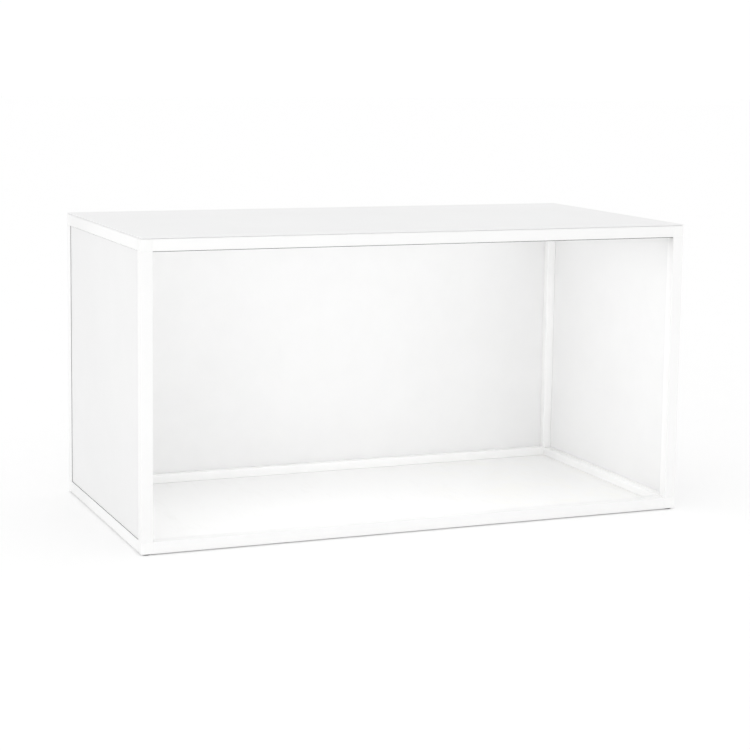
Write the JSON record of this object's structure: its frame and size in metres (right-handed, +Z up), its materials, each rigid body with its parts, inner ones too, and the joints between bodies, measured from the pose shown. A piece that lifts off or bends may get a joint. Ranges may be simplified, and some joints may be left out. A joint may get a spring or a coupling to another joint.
{
  "type": "aquarium stand cabinet",
  "caption": "Open-front stand cabinet: a white square-tube frame with light grey infill sheets, a floor sheet and a flat top plate that carries a tank.",
  "frame": {"origin": "centre of the footprint, on the floor under the foot pads", "axes": "+Z up; the open front faces -Y; +X to the right seen from the front, along the width"},
  "size_m": [1, 0.5, 0.52],
  "materials": {
    "frame_coat": "white powder coat, satin",
    "connector_nylon": "white moulded nylon, fine grain",
    "sheet_coat": "light grey powder coat, matt",
    "floor_coat": "white powder coat, satin",
    "foam_tape": "white foam bonding tape",
    "gasket_rubber": "dark grey rubber strip",
    "zinc_steel": "bright zinc plate",
    "foot_rubber": "black rubber"
  },
  "bodies": {
    "root": {"post_front_left": "frame_coat", "post_front_right": "frame_coat", "post_back_left": "frame_coat", "post_back_right": "frame_coat", "rail_top_front": "frame_coat", "rail_top_back": "frame_coat", "rail_top_left": "frame_coat", "rail_top_right": "frame_coat", "rail_bottom_front": "frame_coat", "rail_bottom_back": "frame_coat", "rail_bottom_left": "frame_coat", "rail_bottom_right": "frame_coat", "top_brace_left": "frame_coat", "top_brace_right": "frame_coat", "corner_bottom_front_left": "connector_nylon", "corner_bottom_front_right": "connector_nylon", "corner_bottom_back_left": "connector_nylon", "corner_bottom_back_right": "connector_nylon", "corner_top_front_left": "connector_nylon", "corner_top_front_right": "connector_nylon", "corner_top_back_left": "connector_nylon", "corner_top_back_right": "connector_nylon", "left_sheet": "sheet_coat", "right_sheet": "sheet_coat", "back_sheet": "sheet_coat", "top_plate": "sheet_coat", "floor_sheet": "floor_coat", "top_tape": "foam_tape", "left_gasket": "gasket_rubber", "right_gasket": "gasket_rubber", "back_gasket": "gasket_rubber", "floor_gasket": "gasket_rubber", "opening_seal": "gasket_rubber", "brace_brackets_left": "zinc_steel", "brace_brackets_right": "zinc_steel", "bracket_screws": "zinc_steel", "foot_pads": "foot_rubber"}
  },
  "joints": []
}
